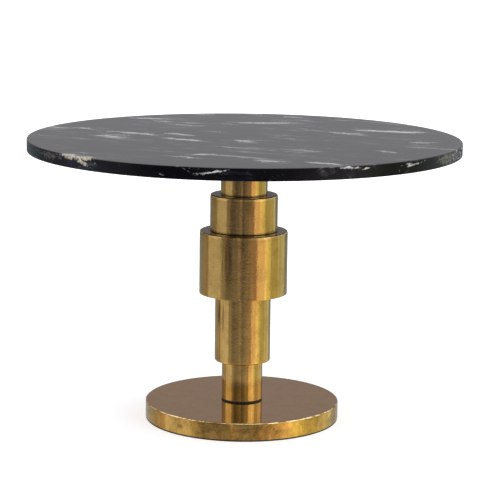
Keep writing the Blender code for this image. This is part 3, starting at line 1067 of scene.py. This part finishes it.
def veined_marble(name, polish, gloss=0.5):
    """Black marble, near black: faint grey wisps everywhere, white veins 20 to 60 mm wide
    torn into fibres and crumbs, and cream and olive patches where they reach the edge.
    """
    made, tree, shader, place = new_material(
        name,
        {"IOR": 1.5, "Metallic": 0.0, "Roughness": polish, "Specular IOR Level": gloss},
    )
    # A slow warp keeps the streaks from running straight, and a quick one frays them
    bent = place
    for scale, reach in ((3.0, 0.06), (28.0, 0.030), (120.0, 0.008)):
        warp = add_node(
            tree, "ShaderNodeTexNoise", {"Vector": place, "Scale": scale, "Detail": 2.0}
        )
        shift = add_node(
            tree,
            "ShaderNodeVectorMath",
            {0: warp.outputs["Color"], 1: (0.5, 0.5, 0.5)},
            operation="SUBTRACT",
        )
        bent = add_node(
            tree,
            "ShaderNodeVectorMath",
            {0: shift.outputs["Vector"], 1: (reach, reach, reach / 3), 2: bent},
            operation="MULTIPLY_ADD",
        ).outputs["Vector"]
        if scale == 3.0:
            slow = bent
    bed = add_node(
        tree,
        "ShaderNodeMapping",
        {"Vector": bent, "Rotation": (math.radians(25), 0.0, math.radians(-24))},
        vector_type="TEXTURE",
    ).outputs["Vector"]
    fine = add_node(
        tree, "ShaderNodeMapping", {"Vector": bed, "Scale": (6.0, 42.0, 60.0)}
    ).outputs["Vector"]
    fibre = add_node(
        tree,
        "ShaderNodeTexNoise",
        {"Vector": fine, "Scale": 1.0, "Detail": 6.0, "Roughness": 0.62},
    ).outputs["Fac"]
    broad = add_node(
        tree, "ShaderNodeMapping", {"Vector": bed, "Scale": (2.5, 12.0, 20.0)}
    ).outputs["Vector"]
    haze = add_node(
        tree,
        "ShaderNodeTexNoise",
        {"Vector": broad, "Scale": 1.0, "Detail": 5.0, "Roughness": 0.6},
    ).outputs["Fac"]
    # Faint wisps everywhere, stronger in some beds than in others
    wisp = add_node(
        tree,
        "ShaderNodeMapRange",
        {"Value": fibre, "From Min": 0.52, "From Max": 0.74, "To Max": 0.6},
        interpolation_type="SMOOTHSTEP",
    ).outputs["Result"]
    gate = add_node(
        tree,
        "ShaderNodeMapRange",
        {"Value": haze, "From Min": 0.44, "From Max": 0.68},
        interpolation_type="SMOOTHSTEP",
    ).outputs["Result"]
    # The beds lie nearly flat, so fewer of them are cut by the edge
    height = add_node(tree, "ShaderNodeSeparateXYZ", {"Vector": place}).outputs["Z"]
    upper = add_node(
        tree,
        "ShaderNodeMapRange",
        {"Value": height, "From Min": 0.752, "From Max": 0.759, "To Min": 0.22},
    ).outputs["Result"]
    gated = add_node(
        tree, "ShaderNodeMath", {0: wisp, 1: gate}, operation="MULTIPLY"
    ).outputs["Value"]
    wisps = add_node(
        tree, "ShaderNodeMath", {0: gated, 1: upper}, operation="MULTIPLY"
    ).outputs["Value"]
    crumbs = add_node(
        tree,
        "ShaderNodeTexNoise",
        {"Vector": slow, "Scale": 140.0, "Detail": 5.0, "Roughness": 0.7},
    ).outputs["Fac"]
    # The long streaks are torn into fibres along the bed, and crumble at 3 to 7 mm
    long_streaks = largest(tree, [soft_spot(tree, bent, *streak) for streak in STREAKS])
    torn = add_node(
        tree,
        "ShaderNodeMath",
        {0: fibre, 1: 3.0, 2: long_streaks},
        operation="MULTIPLY_ADD",
    ).outputs["Value"]
    torn = add_node(
        tree, "ShaderNodeMath", {0: crumbs, 1: 1.6, 2: torn}, operation="MULTIPLY_ADD"
    ).outputs["Value"]
    feathered = add_node(
        tree,
        "ShaderNodeMapRange",
        {"Value": torn, "From Min": 2.75, "From Max": 3.50, "To Max": 0.60},
        interpolation_type="SMOOTHSTEP",
    ).outputs["Result"]
    white = largest(tree, [feathered, wisps])
    body = add_node(
        tree,
        "ShaderNodeMix",
        {
            "Factor": add_node(
                tree,
                "ShaderNodeMapRange",
                {"Value": haze, "From Min": 0.45, "From Max": 0.80},
            ).outputs["Result"],
            "A": linear("#030306"),
            "B": linear("#141422"),
        },
        data_type="RGBA",
    ).outputs["Result"]
    colour = body
    for patches, tint in ((OLIVE, "#5b5950"), (CREAM, "#b9b29e")):
        spread = largest(tree, [soft_spot(tree, bent, *patch) for patch in patches])
        crumbled = add_node(
            tree,
            "ShaderNodeMath",
            {0: crumbs, 1: 2.5, 2: spread},
            operation="MULTIPLY_ADD",
        ).outputs["Value"]
        broken = add_node(
            tree,
            "ShaderNodeMapRange",
            {"Value": crumbled, "From Min": 1.68, "From Max": 2.20},
        ).outputs["Result"]
        colour = add_node(
            tree,
            "ShaderNodeMix",
            {"Factor": broken, "A": colour, "B": linear(tint)},
            data_type="RGBA",
        ).outputs["Result"]
    colour = add_node(
        tree,
        "ShaderNodeMix",
        {"Factor": white, "A": colour, "B": linear("#dddcdb")},
        data_type="RGBA",
    ).outputs["Result"]
    tree.links.new(colour, shader.inputs["Base Color"])
    return made


marble_outline = rounded(
    [
        (0, marble_high.z, 0),
        (marble_high.x, marble_high.z, 0.0022),
        (marble_high.x, marble_low.z, 0.0015),
        (0, marble_low.z, 0),
    ],
    6,
)
marble_mesh = turned("marble_slab", marble_outline, 288)
# The polished face, the sawn underside, and the edge, which is finished by hand and so
# shines less than the face
marble_mesh.materials.append(veined_marble("polished_black_marble", 0.15))
marble_mesh.materials.append(veined_marble("sawn_black_marble", 0.6))
marble_mesh.materials.append(veined_marble("hand_polished_marble_edge", 0.22, 0.2))
for face in marble_mesh.polygons:
    if face.center.z < marble_low.z + 0.0003:
        face.material_index = 1
    elif face.normal.z < 0.5:
        face.material_index = 2
fit_piece("marble_slab", marble_mesh, None, "marble_top")

# ---------------------------------------------------------------------------------------
# The studio: a white paper floor, lights and pale walls all round given by their bearing, a
# broad light overhead, and a camera with a long lens, at shoulder height.

floor_mesh = bpy.data.meshes.new("floor")
grid = bmesh.new()
bmesh.ops.create_grid(grid, x_segments=1, y_segments=1, size=60)
grid.to_mesh(floor_mesh)
grid.free()
floor = bpy.data.objects.new("studio_floor", floor_mesh)
bpy.context.scene.collection.objects.link(floor)
paper, _, paper_shader, _ = new_material(
    "white_paper_floor", {"Metallic": 0.0, "Roughness": 1.0, "Specular IOR Level": 0.0}
)
paper_shader.inputs["Base Color"].default_value = linear("#dcdcdc")
paper_shader.inputs["Emission Color"].default_value = (1, 1, 1, 1)
paper_shader.inputs["Emission Strength"].default_value = 0.45
floor_mesh.materials.append(paper)
# Brass reflects the studio and not the paper, as if the paper ended behind the table
floor.visible_glossy = False

world = bpy.data.worlds.new("studio")
bpy.context.scene.world = world
world.use_nodes = True
studio = world.node_tree
studio.nodes.clear()
direction = add_node(studio, "ShaderNodeTexCoord").outputs["Generated"]
axes = add_node(studio, "ShaderNodeSeparateXYZ", {"Vector": direction})
toward_camera = add_node(
    studio, "ShaderNodeMath", {0: axes.outputs["Y"], 1: -1.0}, operation="MULTIPLY"
)
# The bearing of each direction from the camera's side, clockwise from above, in degrees
bearing = add_node(
    studio,
    "ShaderNodeMath",
    {0: axes.outputs["X"], 1: toward_camera.outputs["Value"]},
    operation="ARCTAN2",
)
degrees = add_node(
    studio,
    "ShaderNodeMath",
    {0: bearing.outputs["Value"], 1: 180 / math.pi},
    operation="MULTIPLY",
).outputs["Value"]
# Bearing, half width and soft edge in degrees, and the colour, of each light or pale wall
LIGHTS = (
    (-113, 9, 4, (0.30, 0.23, 0.13)),
    (-82, 19, 5, (0.72, 0.78, 0.84)),
    (-54, 5, 4, (0.20, 0.20, 0.13)),
    (-21, 5, 4, (0.08, 0.08, 0.08)),
    (-10, 2, 3, (0.30, 0.25, 0.22)),
    (11, 5, 4, (0.13, 0.13, 0.10)),
    (27, 7, 5, (0.40, 0.25, 0.17)),
    (48, 9, 5, (1.35, 1.10, 0.84)),
    (61, 2, 3, (0.40, 0.30, 0.22)),
    (67, 6, 4, (1.25, 1.28, 0.66)),
    (90, 13, 5, (0.62, 0.66, 0.28)),
    (119, 12, 6, (0.66, 0.78, 0.62)),
)
total = add_node(studio, "ShaderNodeCombineXYZ").outputs["Vector"]
for middle, half_width, soft, colour in LIGHTS:
    offset = add_node(
        studio, "ShaderNodeMath", {0: degrees, 1: float(middle)}, operation="SUBTRACT"
    )
    away = add_node(
        studio, "ShaderNodeMath", {0: offset.outputs["Value"]}, operation="ABSOLUTE"
    )
    lobe = add_node(
        studio,
        "ShaderNodeMapRange",
        {
            "Value": away.outputs["Value"],
            "From Min": float(half_width + soft),
            "From Max": float(half_width),
        },
        interpolation_type="SMOOTHSTEP",
    )
    total = add_node(
        studio,
        "ShaderNodeVectorMath",
        {0: lobe.outputs["Result"], 1: colour, 2: total},
        operation="MULTIPLY_ADD",
    ).outputs["Vector"]
# Above the horizon the lights are white. Below it only their reflections in the studio's
# varnished floor are seen, dimmer and coloured by the wood
floor_shine, grey = 0.6, 0.37
above = add_node(
    studio,
    "ShaderNodeMapRange",
    {"Value": axes.outputs["Z"], "From Min": -0.06, "From Max": 0.06},
).outputs["Result"]
white_light = add_node(
    studio, "ShaderNodeVectorMath", {0: total, 1: (grey, grey, grey)}, operation="DOT_PRODUCT"
).outputs["Value"]
floor_light = add_node(
    studio, "ShaderNodeVectorMath", {0: total, "Scale": floor_shine}, operation="SCALE"
).outputs["Vector"]
lights = add_node(
    studio,
    "ShaderNodeMix",
    {"Factor": above, "A": floor_light, "B": white_light},
    data_type="VECTOR",
).outputs["Result"]
haze = add_node(
    studio,
    "ShaderNodeMix",
    {"Factor": above, "A": (0.078, 0.080, 0.150), "B": (0.165, 0.165, 0.195)},
    data_type="VECTOR",
).outputs["Result"]
total = add_node(
    studio, "ShaderNodeVectorMath", {0: lights, 1: haze}, operation="ADD"
).outputs["Vector"]
# The wall behind is warm, and pale near the floor
behind = add_node(
    studio,
    "ShaderNodeMapRange",
    {"Value": axes.outputs["Y"], "From Min": 0.4, "From Max": 0.65},
    interpolation_type="SMOOTHSTEP",
)
wall = add_node(
    studio,
    "ShaderNodeMix",
    {"Factor": above, "A": (0.085, 0.060, 0.0), "B": (0.169, 0.117, 0.091)},
    data_type="VECTOR",
).outputs["Result"]
total = add_node(
    studio,
    "ShaderNodeVectorMath",
    {0: wall, 1: behind.outputs["Result"], 2: total},
    operation="MULTIPLY_ADD",
).outputs["Vector"]
# Up to some 10 degrees above the horizon that wall is paler and cooler
low_down = add_node(
    studio,
    "ShaderNodeMapRange",
    {
        "Value": axes.outputs["Z"],
        "From Min": 0.22,
        "From Max": 0.14,
        "To Max": behind.outputs["Result"],
    },
)
total = add_node(
    studio,
    "ShaderNodeVectorMath",
    {0: low_down.outputs["Result"], 1: (0.04, 0.10, 0.110), 2: total},
    operation="MULTIPLY_ADD",
).outputs["Vector"]
# The floor in front is the paler the nearer it lies to the table
paler = add_node(
    studio,
    "ShaderNodeMapRange",
    {
        "Value": axes.outputs["Z"],
        "From Min": -math.sin(math.radians(8)),
        "From Max": -math.sin(math.radians(16)),
    },
)
total = add_node(
    studio,
    "ShaderNodeVectorMath",
    {0: paler.outputs["Result"], 1: (0.24, 0.235, 0.22), 2: total},
    operation="MULTIPLY_ADD",
).outputs["Vector"]
overhead = add_node(
    studio,
    "ShaderNodeMapRange",
    {
        "Value": axes.outputs["Z"],
        "From Min": math.sin(math.radians(30)),
        "From Max": math.sin(math.radians(50)),
        "To Max": 1.5,
    },
    interpolation_type="SMOOTHSTEP",
)
lit_studio = add_node(
    studio,
    "ShaderNodeVectorMath",
    {0: total, 1: overhead.outputs["Result"]},
    operation="ADD",
).outputs["Vector"]
path = add_node(studio, "ShaderNodeLightPath").outputs["Is Camera Ray"]
seen = add_node(
    studio,
    "ShaderNodeMix",
    {"Factor": path, "A": lit_studio, "B": (1, 1, 1)},
    data_type="VECTOR",
)
background = add_node(
    studio, "ShaderNodeBackground", {"Color": seen.outputs["Result"], "Strength": 1.0}
)
add_node(
    studio, "ShaderNodeOutputWorld", {"Surface": background.outputs["Background"]}
)

camera_data = bpy.data.cameras.new("camera")
camera_data.sensor_width = 36.0
camera_data.lens = 143.5
camera_data.clip_end = 200.0
camera = bpy.data.objects.new("camera", camera_data)
bpy.context.scene.collection.objects.link(camera)
# Distance in front of the table and height, in metres, then the turns in radians
camera_distance, camera_height = 5.246, 1.419
look_down, turn, lean = math.radians(-10.38), 0.0033, 0.0125
camera.matrix_world = (
    Matrix.Translation((0.0, -camera_distance, camera_height))
    @ Matrix.Rotation(-turn, 4, "Z")
    @ Matrix.Rotation(math.pi / 2 + look_down, 4, "X")
    @ Matrix.Rotation(lean, 4, "Z")
)
bpy.context.scene.camera = camera
bpy.context.scene.view_settings.view_transform = "Standard"
